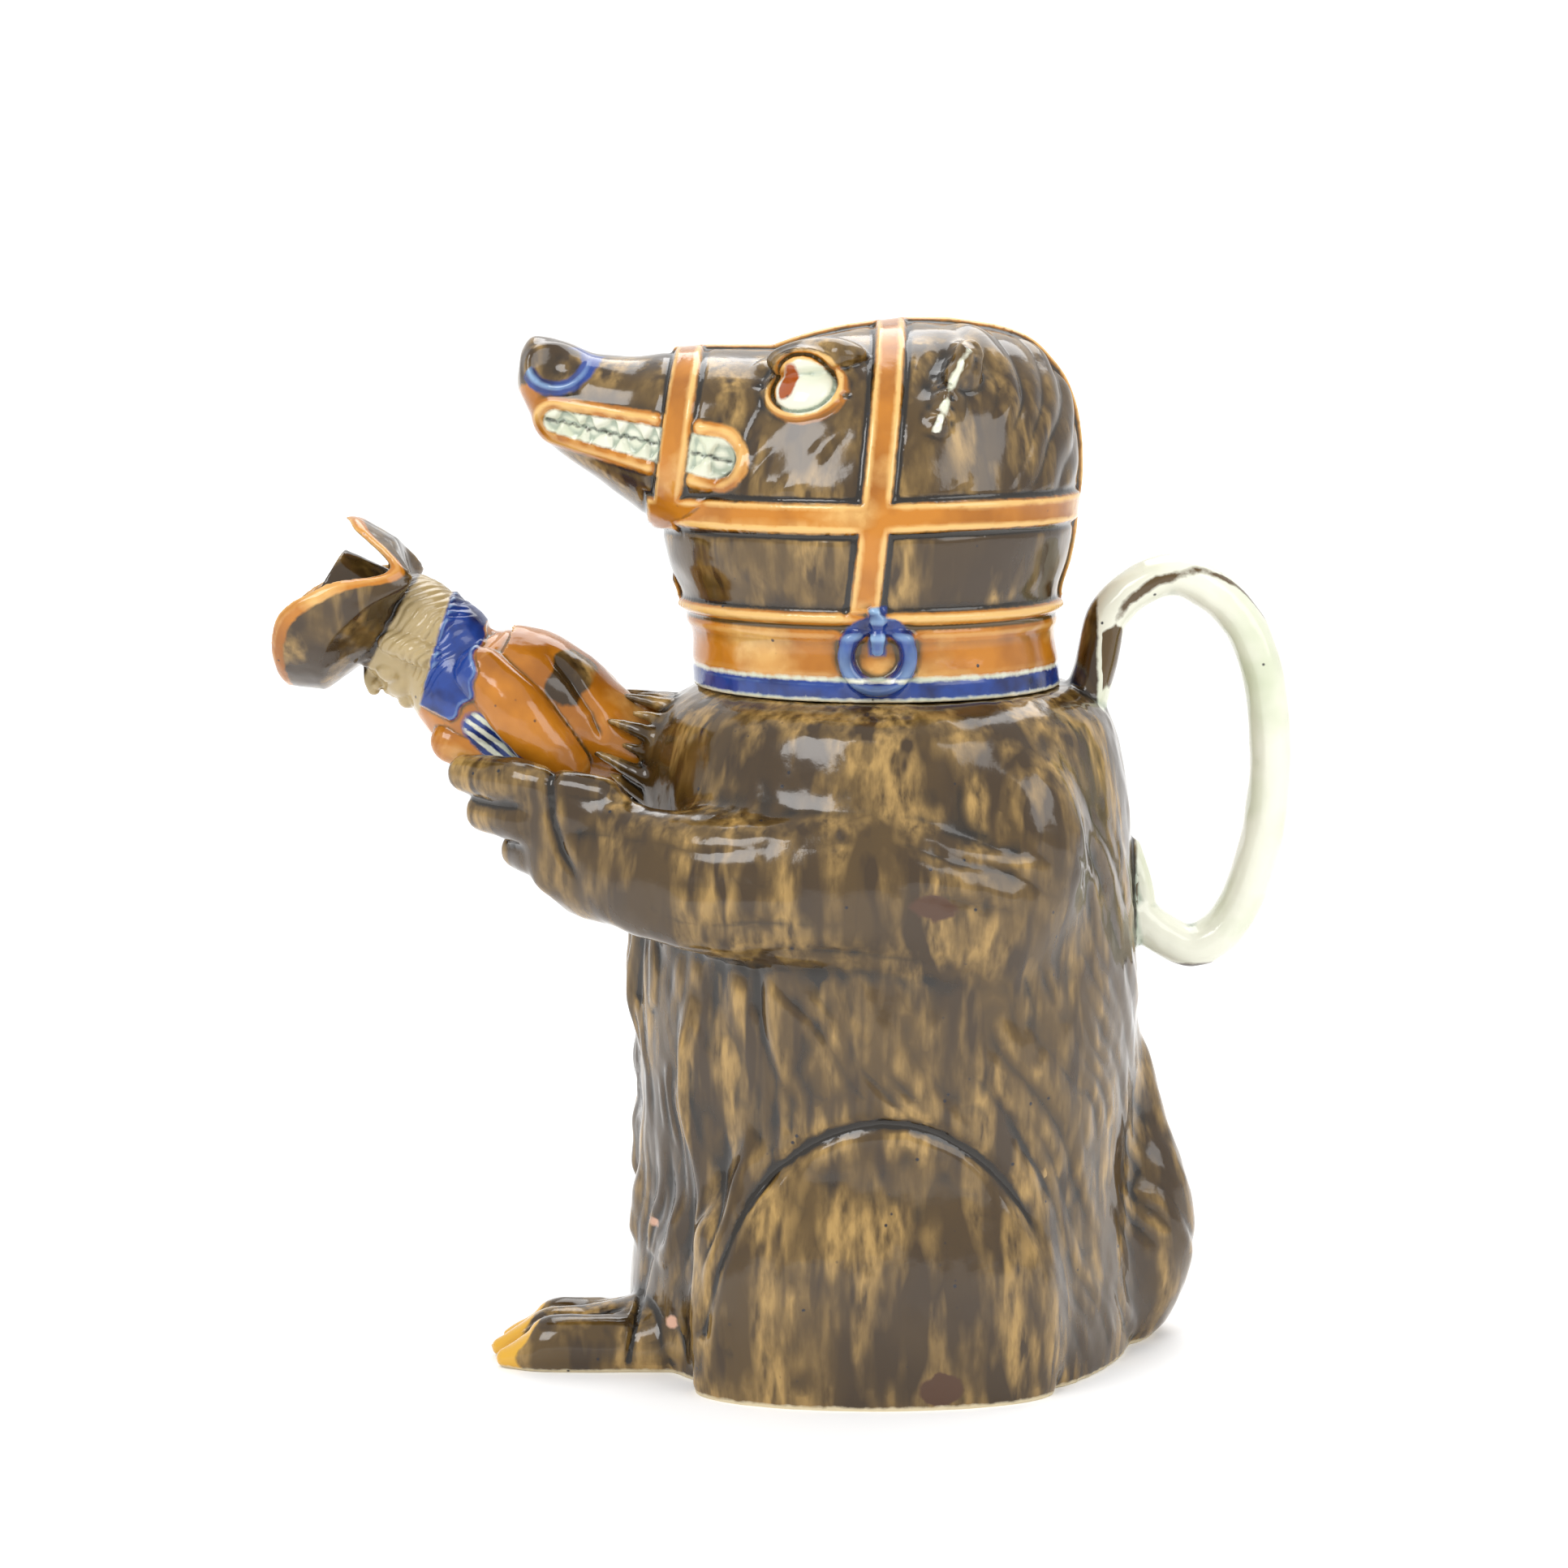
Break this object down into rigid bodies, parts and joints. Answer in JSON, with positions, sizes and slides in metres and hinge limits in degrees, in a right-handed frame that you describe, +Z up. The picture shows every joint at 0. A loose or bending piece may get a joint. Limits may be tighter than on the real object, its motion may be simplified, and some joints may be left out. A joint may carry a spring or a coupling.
{
  "type": "bear jug",
  "caption": "Seated muzzled bear jug with a lift-off head as its cover, a loop handle and a small hatted man whose open hat pours.",
  "frame": {"origin": "on the ground, under the middle of the jug's body", "axes": "+Z up; the bear faces -X; its left side is towards -Y"},
  "size_m": [0.2517, 0.1554, 0.2546],
  "materials": {
    "jug_body": "streaky brown lead glaze, glossy",
    "handle": "cream lead glaze with a blue stripe, glossy",
    "spout_figure": "ochre, cream and blue lead glaze, glossy",
    "head_lid": "brown and ochre lead glaze, glossy"
  },
  "bodies": {
    "root": {"jug_body": "jug_body", "left_arm": "jug_body", "right_arm": "jug_body", "handle": "handle", "spout_figure": "spout_figure", "head_lid": "head_lid"}
  },
  "joints": []
}
